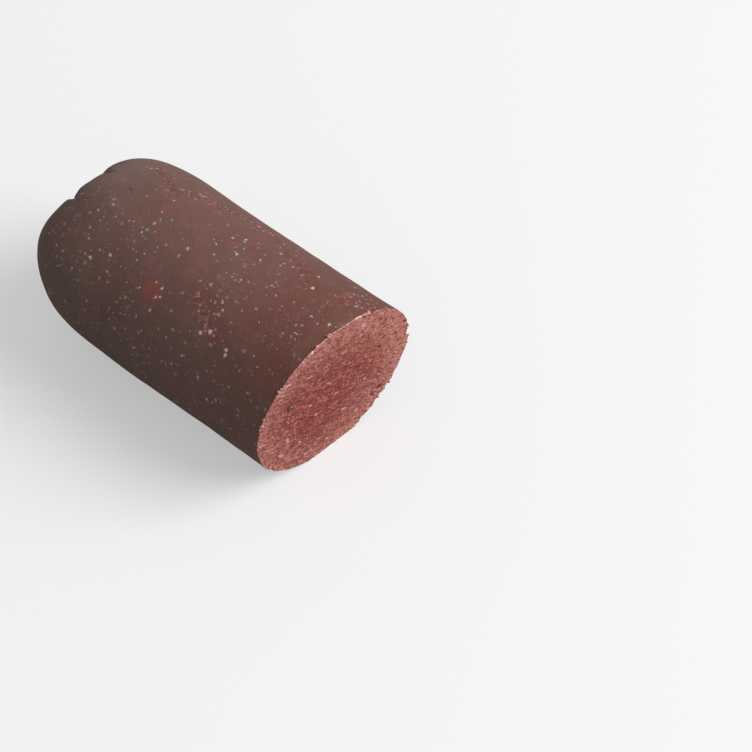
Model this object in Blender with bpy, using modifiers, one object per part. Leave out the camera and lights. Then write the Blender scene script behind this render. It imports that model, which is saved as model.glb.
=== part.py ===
"""Cured sausage: a thick log with a gathered, domed end and a plain cut end.

The log is first turned as a smooth form about +Z, with its cut face at the top. It is then laid down
along +X, its domed end is drawn in and gathered into lobes and pleats, its cut is slanted and its
underside is pressed flat where it rests. Units are metres and +Z is up. The origin is at the middle
of the base of its box. Directions round the log are in degrees from straight up, towards -Y.
"""

import math

import bmesh
import bpy
from mathutils import Matrix, Vector

NAME = "cured_sausage"

# Driving dimensions.
RADIUS = 0.030               # half of a 60 mm casing size
LENGTH = 0.1033              # end of the turned form to the middle of the cut
DOME_LENGTH = 0.0328         # how far the domed end reaches along the log
DOME_FULLNESS = 2.94         # 2 is an ellipse, and more gives a blunter end with a rounder shoulder
CUT_SLANT_Y = 0.113          # how far the cut leans along the log, for each unit across it
CUT_SLANT_Z = 0.060          # and for each unit of height
BASE_PRESS = 0.0009          # height of the underside that is pressed flat by the log's own weight

# How the turned form is divided.
TURN_STEPS = 80
CUT_RINGS = 6
SIDE_RINGS = 13
DOME_RINGS = 20

# The end is drawn in by a broad hollow round its middle, with a small dimple where it was tied off.
HOLLOW_DEPTH = 0.0042
HOLLOW_RADIUS = 0.0160
DIMPLE_DEPTH = 0.0020
DIMPLE_RADIUS = 0.0040

# Swellings and dips of the shoulder round the hollow: direction, height, spread in degrees.
LOBES = (
    (57.0, 0.0021, 24.0),
    (-8.0, -0.0014, 19.0),
    (112.0, -0.0006, 18.0),
    (168.0, 0.0009, 22.0),
    (214.0, -0.0009, 18.0),
    (258.0, 0.0010, 24.0),
)
LOBE_INNER_RADIUS = 0.012    # nearer the middle than this the lobes die away
SHOULDER_START = 0.3         # the gathering starts this share of a dome length before the dome

# Pleats run out from the middle over the shoulder: direction, depth, width, reach from the middle.
PLEATS = (
    (15.0, 0.0016, 0.0019, 0.029),
    (-17.0, 0.0013, 0.0018, 0.028),
    (84.0, 0.0009, 0.0018, 0.026),
    (134.0, 0.0011, 0.0020, 0.027),
    (190.0, 0.0013, 0.0020, 0.028),
    (231.0, 0.0010, 0.0018, 0.026),
    (287.0, 0.0012, 0.0019, 0.027),
)
PLEAT_STEADY_SHARE = 0.75    # share of a pleat's reach over which it keeps its full depth

# Slow swells of a hand-filled form: height, lobes round the log, waves along it, phase.
SWELLS = (
    (0.00016, 2, 0.8, 0.4),
    (0.00012, 3, 1.6, 2.1),
    (0.00008, 5, 2.3, 4.4),
)

RIND_COLOUR = (0.150, 0.085, 0.070, 1.0)
RIND_ROUGHNESS = 0.62
MEAT_COLOUR = (0.280, 0.085, 0.065, 1.0)
MEAT_ROUGHNESS = 0.55
SHARP_EDGE = math.radians(50.0)
SEAM_MERGE = 0.00005
CUT_FACING = 0.98            # a face of the cut looks at least this much along the cut's normal


def clear_scene():
    for item in list(bpy.data.objects):
        bpy.data.objects.remove(item, do_unlink=True)


def make_collection():
    collection = bpy.data.collections.new(NAME)
    bpy.context.scene.collection.children.link(collection)
    return collection


def make_material(name, colour, roughness):
    material = bpy.data.materials.new(name)
    material.use_nodes = True
    shader = material.node_tree.nodes["Principled BSDF"]
    shader.inputs["Base Color"].default_value = colour
    shader.inputs["Roughness"].default_value = roughness
    shader.inputs["Metallic"].default_value = 0.0
    return material


def fade_in(value, start, end):
    """0 at start, 1 at end, with a soft turn at both."""
    share = min(1.0, max(0.0, (value - start) / (end - start)))
    return share * share * (3.0 - 2.0 * share)


def bell(value, width):
    return math.exp(-((value / width) ** 2))


def turn_between(around, direction):
    """Signed turn from a direction in degrees to an angle in radians, the short way round."""
    return math.remainder(around - math.radians(direction), 2.0 * math.pi)


def log_profile():
    """(radius, height) from the middle of the cut out to the rim, down the side and round to the tip."""
    points = []
    for ring in range(CUT_RINGS):
        points.append((RADIUS * ring / CUT_RINGS, LENGTH))
    side = LENGTH - DOME_LENGTH
    for ring in range(SIDE_RINGS):
        points.append((RADIUS, LENGTH - side * ring / SIDE_RINGS))
    for ring in range(DOME_RINGS):
        turn = 0.5 * math.pi * ring / DOME_RINGS
        radius = RADIUS * math.cos(turn) ** (2.0 / DOME_FULLNESS)
        drop = DOME_LENGTH * math.sin(turn) ** (2.0 / DOME_FULLNESS)
        points.append((radius, DOME_LENGTH - drop))
    points.append((0.0, 0.0))
    return points


def turn_log(collection):
    """Turns the profile about +Z and returns the closed mesh."""
    points = [(radius, 0.0, height) for radius, height in log_profile()]
    edges = [(index, index + 1) for index in range(len(points) - 1)]
    outline = bpy.data.meshes.new("log_profile")
    outline.from_pydata(points, edges, [])
    turned = bpy.data.objects.new("log_profile", outline)
    collection.objects.link(turned)
    screw = turned.modifiers.new("Turn", "SCREW")
    screw.axis = "Z"
    screw.steps = TURN_STEPS
    screw.render_steps = TURN_STEPS
    screw.use_merge_vertices = True
    screw.merge_threshold = SEAM_MERGE
    graph = bpy.context.evaluated_depsgraph_get()
    mesh = bpy.data.meshes.new_from_object(turned.evaluated_get(graph))
    bpy.data.objects.remove(turned, do_unlink=True)
    return mesh


def lay_down(mesh):
    """Puts the log's axis along +X, with the cut face at x = 0 and the domed end at -LENGTH."""
    upright_to_lying = Matrix.Rotation(math.radians(90.0), 4, "Y")
    mesh.transform(upright_to_lying @ Matrix.Translation((0.0, 0.0, -LENGTH)))


def swell_share(point, around):
    """Share of the radius that the slow swells add at a point."""
    along = 2.0 * math.pi * point.x / LENGTH
    total = 0.0
    for height, lobes, waves, phase in SWELLS:
        total += height * math.cos(lobes * around + phase) * math.cos(waves * along + phase)
    return total / RADIUS


def lobe_height(around):
    """Height of the shoulder's swellings and dips in one direction round the log."""
    total = 0.0
    for direction, height, spread in LOBES:
        total += height * bell(turn_between(around, direction), math.radians(spread))
    return total


def pleat_depth(point, around, radius):
    """Depth of the pleats at a point of the domed end."""
    reached = math.hypot(radius, point.x + LENGTH)
    total = 0.0
    for direction, depth, width, reach in PLEATS:
        turn = turn_between(around, direction)
        if abs(turn) < 0.5 * math.pi:
            kept = 1.0 - fade_in(reached, PLEAT_STEADY_SHARE * reach, reach)
            total += depth * kept * bell(radius * math.sin(turn), width)
    return total


def gathered(point, normal):
    """Where a point of the turned form goes when the domed end is drawn in and gathered."""
    around = math.atan2(-point.y, point.z)
    radius = math.hypot(point.y, point.z)
    shoulder = LENGTH - (1.0 + SHOULDER_START) * DOME_LENGTH
    on_dome = fade_in(-point.x, shoulder, shoulder + DOME_LENGTH)
    off_middle = min(1.0, radius / LOBE_INNER_RADIUS)
    swell = 1.0 + swell_share(point, around)
    moved = Vector((point.x, point.y * swell, point.z * swell))
    moved += normal * on_dome * off_middle * (lobe_height(around) - pleat_depth(point, around, radius))
    drawn = HOLLOW_DEPTH * bell(radius, HOLLOW_RADIUS) + DIMPLE_DEPTH * bell(radius, DIMPLE_RADIUS)
    moved.x += drawn * on_dome
    return moved


def shape_log(mesh):
    """Gathers the domed end, slants the cut and presses the underside flat."""
    shape = bmesh.new()
    shape.from_mesh(mesh)
    shape.normal_update()
    targets = [gathered(vertex.co, vertex.normal) for vertex in shape.verts]
    side = LENGTH - DOME_LENGTH
    for vertex, target in zip(shape.verts, targets):
        target.z = max(target.z, BASE_PRESS - RADIUS)
        lean = 1.0 - fade_in(-target.x, 0.0, side)
        target.x += lean * (CUT_SLANT_Y * target.y + CUT_SLANT_Z * target.z)
        vertex.co = target
    shape.to_mesh(mesh)
    shape.free()


def paint_cut(mesh):
    """Gives the faces of the cut the meat's material, and every other face the rind's."""
    cut_normal = Vector((1.0, -CUT_SLANT_Y, -CUT_SLANT_Z)).normalized()
    for face in mesh.polygons:
        face.material_index = 1 if face.normal.dot(cut_normal) > CUT_FACING else 0


def box_base(mesh):
    """Middle of the base of the mesh's box."""
    low = Vector([min(vertex.co[axis] for vertex in mesh.vertices) for axis in range(3)])
    high = Vector([max(vertex.co[axis] for vertex in mesh.vertices) for axis in range(3)])
    return Vector(((low.x + high.x) / 2.0, (low.y + high.y) / 2.0, low.z))


def make_sausage(collection):
    mesh = turn_log(collection)
    mesh.name = "sausage"
    lay_down(mesh)
    shape_log(mesh)
    mesh.transform(Matrix.Translation(-box_base(mesh)))
    mesh.materials.clear()
    mesh.materials.append(make_material("rind", RIND_COLOUR, RIND_ROUGHNESS))
    mesh.materials.append(make_material("cut_meat", MEAT_COLOUR, MEAT_ROUGHNESS))
    paint_cut(mesh)
    mesh.shade_smooth()
    mesh.set_sharp_from_angle(angle=SHARP_EDGE)
    sausage = bpy.data.objects.new("sausage", mesh)
    collection.objects.link(sausage)
    return sausage


def main():
    clear_scene()
    collection = make_collection()
    make_sausage(collection)


main()
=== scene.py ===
# %% [markdown]
# # A cured sausage, cut and lying on its side
# The log is one piece of chopped, cured and smoked meat. Its outside is a dry brown rind with fat grains
# showing through, its far end was gathered and tied, and its near end is a fresh knife cut. The plain
# solid of the log is loaded first, as a frame that never moves, and every size below is taken from it.

# %% Load the frame
import math

import bpy
import numpy as np
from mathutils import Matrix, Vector


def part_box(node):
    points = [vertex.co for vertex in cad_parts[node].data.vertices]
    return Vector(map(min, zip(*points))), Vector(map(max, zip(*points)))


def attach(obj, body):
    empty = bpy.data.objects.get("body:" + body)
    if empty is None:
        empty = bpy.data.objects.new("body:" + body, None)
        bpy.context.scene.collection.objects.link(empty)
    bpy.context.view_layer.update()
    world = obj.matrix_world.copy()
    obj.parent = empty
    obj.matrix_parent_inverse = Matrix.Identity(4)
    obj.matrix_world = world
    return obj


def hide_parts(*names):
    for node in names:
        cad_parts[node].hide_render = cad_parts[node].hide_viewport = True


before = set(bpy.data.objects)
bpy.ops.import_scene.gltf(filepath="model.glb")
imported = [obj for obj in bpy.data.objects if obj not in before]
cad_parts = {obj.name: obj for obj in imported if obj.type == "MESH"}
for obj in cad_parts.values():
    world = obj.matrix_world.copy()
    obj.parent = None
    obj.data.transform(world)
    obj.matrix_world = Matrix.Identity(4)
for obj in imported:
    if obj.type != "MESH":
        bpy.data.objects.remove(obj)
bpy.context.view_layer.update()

MM = 0.001
log_low, log_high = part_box("sausage")
print("log, mm:", [round(side / MM, 1) for side in log_high - log_low])

# %% [markdown]
# ## The camera and how colours are shown
# The camera stands well back with a long lens, looking down on the log from the side of its cut end. A
# long lens keeps the two long edges of the log nearly parallel. The Standard view transform shows each
# colour as it was mixed, which suits food better than a transform that mutes reds.

# %% Camera
CAMERA_AZIMUTH = math.radians(40.5)
CAMERA_ELEVATION = math.radians(53.0)
CAMERA_DISTANCE = 1.1
CAMERA_LENS = 175.4
LOG_MIDDLE = Vector((0.0, 0.0, 30.0)) * MM
AIM_RIGHT = 50.15 * MM       # the log sits left of the middle of the picture
AIM_UP = -21.6 * MM          # and a little above it


def view_axes(azimuth, elevation):
    """Right, up and back directions of a camera that looks at the log from there."""
    right = Vector((math.cos(azimuth), math.sin(azimuth), 0.0))
    level = math.cos(elevation)
    back = Vector((math.sin(azimuth) * level, -math.cos(azimuth) * level, math.sin(elevation)))
    return right, back.cross(right), back


def add_object(name, data):
    """Puts a mesh, a lamp or a camera into the scene."""
    added = bpy.data.objects.new(name, data)
    bpy.context.scene.collection.objects.link(added)
    return added


def add_camera():
    right, up, back = view_axes(CAMERA_AZIMUTH, CAMERA_ELEVATION)
    aim = LOG_MIDDLE + right * AIM_RIGHT + up * AIM_UP
    lens = bpy.data.cameras.new("camera")
    lens.lens = CAMERA_LENS
    lens.clip_start = 0.01
    camera = add_object("camera", lens)
    camera.location = aim + back * CAMERA_DISTANCE
    camera.rotation_euler = back.to_track_quat("Z", "Y").to_euler()
    bpy.context.scene.camera = camera
    return camera


camera = add_camera()
bpy.context.scene.view_settings.view_transform = "Standard"
print("camera at", [round(value, 3) for value in camera.location])

# %% [markdown]
# ## Node helpers
# Every tree below is made of the same few nodes: a bit of arithmetic, a noise, a cell pattern and a
# remap. Each helper adds a node or two, feeds the inputs with a number or another node's output, and
# returns the output that is wanted. Most of them work in shader trees and in geometry trees alike.

# %% Node helpers


def feed(tree, socket, value):
    """Sets an input to a number or colour, or links it to another node's output."""
    if isinstance(value, bpy.types.NodeSocket):
        tree.links.new(value, socket)
    elif value is not None:
        socket.default_value = value


def add_node(tree, kind, settings=(), **inputs):
    """Adds a node. Settings are (name, value) pairs, and inputs are named with _ for a space."""
    node = tree.nodes.new(kind)
    for name, value in settings:
        setattr(node, name, value)
    for name, value in inputs.items():
        feed(tree, node.inputs[name.replace("_", " ")], value)
    return node


def maths(tree, operation, first, second, clamp=False):
    node = add_node(tree, "ShaderNodeMath", [("operation", operation), ("use_clamp", clamp)])
    for socket, value in zip(node.inputs, (first, second)):
        feed(tree, socket, value)
    return node.outputs[0]


def times(tree, first, second):
    return maths(tree, "MULTIPLY", first, second)


def plus(tree, first, second, clamp=False):
    return maths(tree, "ADD", first, second, clamp)


def minus(tree, first, second):
    return maths(tree, "SUBTRACT", first, second)


def vectors(tree, operation, first, second=None, scale=None):
    node = add_node(tree, "ShaderNodeVectorMath", [("operation", operation)])
    feed(tree, node.inputs[0], first)
    feed(tree, node.inputs[1], second)
    if scale is not None:
        feed(tree, node.inputs["Scale"], scale)
    return node.outputs["Value" if operation in ("DISTANCE", "LENGTH", "DOT_PRODUCT") else "Vector"]


def noise(tree, place, scale, detail=2.0, roughness=0.5, output="Fac"):
    node = add_node(tree, "ShaderNodeTexNoise", Vector=place, Scale=scale, Detail=detail,
                    Roughness=roughness)
    return node.outputs[output]


def stray(tree, place, scale, detail=2.0, roughness=0.5):
    """A random push in all three directions, centred on 0."""
    push = noise(tree, place, scale, detail, roughness, "Color")
    return vectors(tree, "SUBTRACT", push, (0.5, 0.5, 0.5))


def pushed(tree, place, push, reach):
    """A place moved by a push times a reach."""
    return vectors(tree, "ADD", place, vectors(tree, "SCALE", push, scale=reach))


def cells(tree, place, scale):
    return add_node(tree, "ShaderNodeTexVoronoi", Vector=place, Scale=scale)


def remap(tree, value, low, high, to_low=0.0, to_high=1.0, kind="SMOOTHSTEP"):
    node = add_node(tree, "ShaderNodeMapRange", [("interpolation_type", kind), ("clamp", True)],
                    Value=value, From_Min=low, From_Max=high, To_Min=to_low, To_Max=to_high)
    return node.outputs["Result"]


def mixed(tree, share, first, second):
    """A colour between two others."""
    node = tree.nodes.new("ShaderNodeMix")
    node.data_type = "RGBA"
    factor, first_colour, second_colour = node.inputs[0], node.inputs[6], node.inputs[7]
    feed(tree, factor, share)
    feed(tree, first_colour, first)
    feed(tree, second_colour, second)
    return node.outputs[2]


def new_group(name, kind, inputs, outputs):
    """A node group with named sockets. Each input is (name, socket type, default)."""
    tree = bpy.data.node_groups.new(name, kind)
    for label, socket_type, default in inputs:
        socket = tree.interface.new_socket(label, in_out="INPUT", socket_type=socket_type)
        if default is not None:
            socket.default_value = default
    for label, socket_type in outputs:
        tree.interface.new_socket(label, in_out="OUTPUT", socket_type=socket_type)
    return tree, tree.nodes.new("NodeGroupInput").outputs, tree.nodes.new("NodeGroupOutput").inputs


def use_group(tree, group, **inputs):
    """The outputs of a shader group that is fed with these inputs."""
    return add_node(tree, "ShaderNodeGroup", [("node_tree", group)], **inputs).outputs


FLOAT, VECTOR = "NodeSocketFloat", "NodeSocketVector"
SHAPE, SUBSTANCE = "NodeSocketGeometry", "NodeSocketMaterial"
print("node helpers ready")

# %% [markdown]
# ## Sizes of the log
# The log's own measures follow from its box, which is a little larger than the plain form because the
# rind swells and the cut leans. The cross-section is a circle, the domed end is a squarish half ellipse
# (a superellipse), and the knife went through a little askew.

# %% Sizes of the log
BOX_LENGTH = log_high.x - log_low.x
BOX_WIDTH = log_high.y - log_low.y
RADIUS = 0.4947 * BOX_WIDTH
LENGTH = 0.9746 * BOX_LENGTH
DOME_LENGTH = 1.093 * RADIUS
DOME_FULLNESS = 2.94
SIDE_LENGTH = LENGTH - DOME_LENGTH
CUT_SLANT_Y = 0.113
CUT_SLANT_Z = 0.060
BASE_PRESS = 0.030 * RADIUS
AXIS_HEIGHT = RADIUS - BASE_PRESS
CUT_TURN = math.radians(18.5)    # the knife's drag marks run across the cut, this much off level
print("radius", round(RADIUS / MM, 2), "mm, length", round(LENGTH / MM, 2), "mm")

# %% [markdown]
# ## The skin of rings
# The log could be turned with a Screw modifier, but then its faces would crowd at the middle of the cut
# and at the tip. Here each end is a disk of rings in which ring k has 6 k points, so all triangles are
# about one size, and fine relief can be pressed into them evenly. The side joins the two disks.

# %% Rings
END_RINGS = 90
AROUND = 6 * END_RINGS
SIDE_RINGS = 84
SIDE_GRADING = 1.25          # above 1 puts more rings near the rim of the cut


def dome_meridian(count):
    """(radius, place along the log) at equal steps over the dome, from its tip to its wide end."""
    turn = np.linspace(0.5 * math.pi, 0.0, 2001)
    radius = RADIUS * np.maximum(np.cos(turn), 0.0) ** (2.0 / DOME_FULLNESS)
    radius[0] = 0.0
    along = -SIDE_LENGTH - DOME_LENGTH * np.sin(turn) ** (2.0 / DOME_FULLNESS)
    travelled = np.concatenate([[0.0], np.cumsum(np.hypot(np.diff(radius), np.diff(along)))])
    wanted = np.linspace(0.0, travelled[-1], count)
    return np.interp(wanted, travelled, radius), np.interp(wanted, travelled, along)


def ring_plan():
    """One row per ring: number of points, radius, place along the log, 1 on the cut and 0 elsewhere."""
    rows = [(1, 0.0, 0.0, 1.0)]
    rows += [(6 * k, RADIUS * k / END_RINGS, 0.0, 1.0) for k in range(1, END_RINGS + 1)]
    for ring in range(1, SIDE_RINGS + 1):
        rows.append((AROUND, RADIUS, -SIDE_LENGTH * (ring / SIDE_RINGS) ** SIDE_GRADING, 0.0))
    radius, along = dome_meridian(END_RINGS + 1)
    rows += [(6 * k, radius[k], along[k], 0.0) for k in range(END_RINGS - 1, 0, -1)]
    rows.append((1, 0.0, along[0], 0.0))
    return rows


def disk_band(outer, inner, k):
    """Triangles between ring k and ring k - 1, from the numbers of their first points."""
    faces = []
    wide = 6 * k
    narrow = max(1, 6 * (k - 1))
    for sector in range(6):
        for step in range(k):
            a = outer + (sector * k + step) % wide
            b = outer + (sector * k + step + 1) % wide
            c = inner + (sector * (k - 1) + step) % narrow
            faces.append((a, b, c))
            if step < k - 1:
                faces.append((c, b, inner + (sector * (k - 1) + step + 1) % narrow))
    return faces


def side_band(first, second):
    """Triangles between two side rings."""
    faces = []
    for step in range(AROUND):
        after = (step + 1) % AROUND
        faces.append((first + step, second + step, second + after))
        faces.append((first + step, second + after, first + after))
    return faces


def join_rings(rows):
    """All triangles of the skin, facing out, with the number of those on the cut."""
    starts = np.concatenate([[0], np.cumsum([row[0] for row in rows])]).tolist()
    faces = []
    for k in range(1, END_RINGS + 1):
        faces += disk_band(starts[k], starts[k - 1], k)
    cut_count = len(faces)
    faces = [face[::-1] for face in faces]
    for ring in range(END_RINGS, END_RINGS + SIDE_RINGS):
        faces += [face[::-1] for face in side_band(starts[ring], starts[ring + 1])]
    last_full = END_RINGS + SIDE_RINGS
    for step in range(END_RINGS):
        faces += disk_band(starts[last_full + step], starts[last_full + step + 1], END_RINGS - step)
    return faces, cut_count


rings = ring_plan()
skin_faces, cut_face_count = join_rings(rings)
print(len(rings), "rings,", len(skin_faces), "triangles,", cut_face_count, "of them on the cut")

# %% [markdown]
# ## The gathered end
# The casing was drawn together and tied, so the end is pulled in round its middle and swells into lobes
# with pleats between them. A list of lobes and pleats, each with a direction round the log, is easy to
# read and to change by hand. Directions are in degrees from straight up, towards -Y.

# %% The gathered end
HOLLOW_DEPTH, HOLLOW_RADIUS = 4.2 * MM, 16.0 * MM
DIMPLE_DEPTH, DIMPLE_RADIUS = 2.0 * MM, 4.0 * MM
LOBE_INNER_RADIUS = 12.0 * MM
SHOULDER_START = 0.3
# Lobes: direction, height in mm (below 0 it is a hollow), spread in degrees.
LOBES = ((57, 2.1, 24), (-8, -1.3, 19), (112, -0.6, 18), (168, 0.9, 22), (214, -0.9, 18), (258, 1.0, 24))
# Pleats: direction, depth, width and reach from the middle in mm, and how far they swing, in degrees.
# The first seven are broad valleys, and the others are sharp creases in them and between them.
PLEATS = (
    (17, 0.9, 2.1, 29, 0), (-16, 0.9, 1.9, 28, 0), (84, 0.9, 1.8, 26, 4), (134, 1.1, 2.0, 27, -5),
    (190, 1.3, 2.0, 28, 4), (231, 1.0, 1.8, 26, 0), (287, 1.2, 1.9, 27, -4),
    (18, 2.1, 0.55, 27.5, 3), (-19, 1.4, 0.50, 30, 8), (84, 0.7, 0.5, 22, 8), (134, 0.8, 0.5, 24, -8),
    (190, 0.9, 0.55, 25, 6), (231, 0.8, 0.5, 23, -5), (287, 0.9, 0.5, 24, -7), (52, 0.4, 0.5, 16, 6),
    (110, 0.4, 0.5, 17, -6), (162, 0.4, 0.5, 17, 5), (258, 0.4, 0.5, 18, 5), (318, 0.5, 0.5, 20, -6),
)
BROADEST = 10.0              # every pleat is narrower than this, in mm
CREASE_WIDTH = 1.0           # and the sharp creases than this
# Slow swells of a hand-filled form: height in mm, lobes round the log, waves along it, phase.
SWELLS = ((0.16, 2, 0.8, 0.4), (0.12, 3, 1.6, 2.1), (0.08, 5, 2.3, 4.4))
# The rind bulges a little at the cut end, on the far side of its top.
FLARE_HEIGHT, FLARE_DIRECTION = 0.75, -62.0
FLARE_SPREAD, FLARE_REACH = math.radians(35.0), 16.0 * MM


def fade_in(value, start, end):
    share = np.clip((value - start) / (end - start), 0.0, 1.0)
    return share * share * (3.0 - 2.0 * share)


def bell(value, width):
    return np.exp(-((value / width) ** 2))


def turn_between(around, direction):
    return (around - np.radians(direction) + math.pi) % (2.0 * math.pi) - math.pi


def pleat_depth(radius, along, around, widest=BROADEST):
    """Depth of all pleats, or only of those up to a width in mm."""
    reached = np.hypot(radius, along + LENGTH)
    total = np.zeros_like(radius)
    for direction, depth, width, reach, swing in PLEATS:
        if width > widest:
            continue
        centre = direction + swing * (reached / (reach * MM)) ** 2
        turn = turn_between(around, centre)
        kept = 1.0 - fade_in(reached, 0.75 * reach * MM, reach * MM)
        near = np.abs(turn) < 0.5 * math.pi
        total += depth * MM * kept * near * bell(radius * np.sin(turn), width * MM)
    return total


def lobe_height(around):
    total = np.zeros_like(around)
    for direction, height, spread in LOBES:
        total += height * MM * bell(turn_between(around, direction), math.radians(spread))
    return total


def swell_share(along, around):
    """How much wider than a plain circle the log is, as a factor."""
    total = np.zeros_like(around)
    for height, lobes, waves, phase in SWELLS:
        wave = 2 * math.pi * waves * along / LENGTH
        total += height * np.cos(lobes * around + phase) * np.cos(wave + phase)
    flare = bell(turn_between(around, FLARE_DIRECTION), FLARE_SPREAD) * bell(along, FLARE_REACH)
    return 1.0 + (total + FLARE_HEIGHT * flare) * MM / RADIUS


print(len(LOBES), "lobes,", len(PLEATS), "pleats")

# %% [markdown]
# ## Holes in the cut
# The filling left gaps between the bits of meat, so holes are pushed in one by one at chosen places.
# They are torn, not drilled: each is longer along the knife's drag and has its own uneven edge.

# %% Holes
# Each hole: across (+Y), up from the axis, radius and depth, all in mm.
HOLES = (
    (15.7, 1.5, 0.45, 0.9), (17.8, 5.6, 0.55, 1.1), (24.2, 6.3, 0.60, 1.2), (16.5, -12.9, 0.60, 1.3),
    (19.6, -16.9, 0.88, 1.9), (17.3, -18.4, 0.74, 1.7), (19.7, 13.5, 0.45, 0.9), (-12.9, -2.6, 0.60, 1.2),
    (-14.0, 7.9, 0.45, 0.9), (3.0, -12.0, 0.40, 0.8), (-4.0, -20.5, 0.45, 0.9), (21.5, -4.0, 0.40, 0.9),
    (-15.0, 0.6, 0.50, 1.1),
)
HOLE_STRETCH = 1.25          # how much longer than round


def hole_depth(y, z):
    """Depth of the holes in mm, at places given from the middle of the cut."""
    hollow = np.zeros_like(y)
    for number, (hole_y, hole_z, hole_radius, depth) in enumerate(HOLES):
        across, up = y - hole_y * MM, z - hole_z * MM
        along_drag = across * math.cos(CUT_TURN) - up * math.sin(CUT_TURN)
        over_drag = across * math.sin(CUT_TURN) + up * math.cos(CUT_TURN)
        bearing = np.arctan2(over_drag, along_drag)
        uneven = 1.0 + 0.22 * np.cos(3.0 * bearing + number) + 0.16 * np.cos(5.0 * bearing + 2.3 * number)
        away = np.hypot(along_drag / HOLE_STRETCH, over_drag * HOLE_STRETCH) / uneven
        hollow = np.maximum(hollow, depth * bell(away, hole_radius * MM))
    return hollow


print(len(HOLES), "holes in the cut")

# %% [markdown]
# ## Shaping the log
# Each ring is turned into points, pulled about by the rules above, leaned at the cut and pressed flat
# underneath, where a soft log settles on the board. Some values travel with the points, such as where
# the cut is and how deep a hole is there, so that the relief and the finishes can use them later.

# %% Shape the log
TORN_WIDTH = 0.8 * MM    # how far from the rim of the cut the tearing reaches


def ring_points(rows):
    """Flat arrays over all points: radius, place along, direction round, share of cut."""
    counts = [row[0] for row in rows]
    around = np.concatenate([2.0 * math.pi * np.arange(count) / count for count in counts])
    radius, along, on_cut = (np.repeat([row[column] for row in rows], counts) for column in (1, 2, 3))
    return radius, along, around, on_cut


def dome_normal(radius, along):
    """Outward direction (along the log, away from its axis) of the turned form."""
    inwards = np.clip((-along - SIDE_LENGTH) / DOME_LENGTH, 0.0, 1.0) ** (DOME_FULLNESS - 1.0) / DOME_LENGTH
    outwards = np.clip(radius / RADIUS, 0.0, 1.0) ** (DOME_FULLNESS - 1.0) / RADIUS
    size = np.hypot(inwards, outwards)
    return -inwards / size, outwards / size


def shaped_points(rows):
    """All points of the skin in place, and the depth of the holes there in metres."""
    radius, along, around, on_cut = ring_points(rows)
    shoulder = SIDE_LENGTH - SHOULDER_START * DOME_LENGTH
    on_dome = fade_in(-along, shoulder, shoulder + DOME_LENGTH)
    raised = on_dome * np.minimum(1.0, radius / LOBE_INNER_RADIUS)
    raised *= lobe_height(around) - pleat_depth(radius, along, around)
    normal_along, normal_out = dome_normal(np.where(on_cut > 0, RADIUS, radius), along)
    out = radius * swell_share(along, around) + raised * normal_out
    x = along + raised * normal_along
    x += on_dome * (HOLLOW_DEPTH * bell(radius, HOLLOW_RADIUS) + DIMPLE_DEPTH * bell(radius, DIMPLE_RADIUS))
    y = -out * np.sin(around)
    z = np.maximum(out * np.cos(around), BASE_PRESS - RADIUS)
    lean = 1.0 - fade_in(-x, 0.0, SIDE_LENGTH)
    x += lean * (CUT_SLANT_Y * y + CUT_SLANT_Z * z)
    hollow = on_cut * hole_depth(y, z) * MM
    x -= hollow
    points = np.stack([x, y, z], axis=1)
    low, high = points.min(axis=0), points.max(axis=0)
    points -= [(low[0] + high[0]) / 2.0, (low[1] + high[1]) / 2.0, low[2]]
    return points, around, on_cut, hollow


def rim_closeness(rows):
    """1 on the rim of the cut, falling to 0 about a millimetre away on both sides."""
    radius, along, _, on_cut = ring_points(rows)
    return bell(np.where(on_cut > 0, RADIUS - radius, -along), TORN_WIDTH)


def raggedness(around):
    """How torn the rim is: most where the knife came out, least where it went in."""
    exit_side = bell(turn_between(around, -118.0), math.radians(55.0))
    under_side = 0.35 * bell(turn_between(around, 150.0), math.radians(45.0))
    return 0.10 + 0.90 * np.maximum(exit_side, under_side)


def crease_share(rows):
    """1 in the bottom of the sharp creases of the gathered end, 0 away from them."""
    radius, along, around, on_cut = ring_points(rows)
    return (1.0 - on_cut) * pleat_depth(radius, along, around, widest=CREASE_WIDTH) / MM


def add_values(mesh, name, values, domain="POINT", kind="FLOAT"):
    mesh.attributes.new(name, kind, domain).data.foreach_set("value", values)


def build_log():
    points, around, on_cut, hollow = shaped_points(rings)
    mesh = bpy.data.meshes.new("log")
    mesh.from_pydata(points.tolist(), [], skin_faces)
    # painted shade: hollow tells the cut where to darken the holes, crease tells the rind where to darken
    # the creases
    carried = {"on_cut": on_cut, "hollow": hollow, "rim": rim_closeness(rings),
               "crease": crease_share(rings), "ragged": raggedness(around)}
    for name, values in carried.items():
        add_values(mesh, name, values.astype(np.float32))
    add_values(mesh, "cut_face", np.arange(len(skin_faces)) < cut_face_count, "FACE", "BOOLEAN")
    return add_object("log", mesh)


log = build_log()
print("log mesh:", len(log.data.vertices), "points, box mm", [round(v / MM, 1) for v in log.dimensions])

# %% [markdown]
# ## Scattered grains of fat
# An effect that is used again and again goes into a group with named inputs. This one scatters small
# blobs, each with its own size, strength and uneven edge. The pattern is solid, so a grain that meets
# the surface is cut through at a random height, as it is in real meat.

# %% Fat grains group


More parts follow.
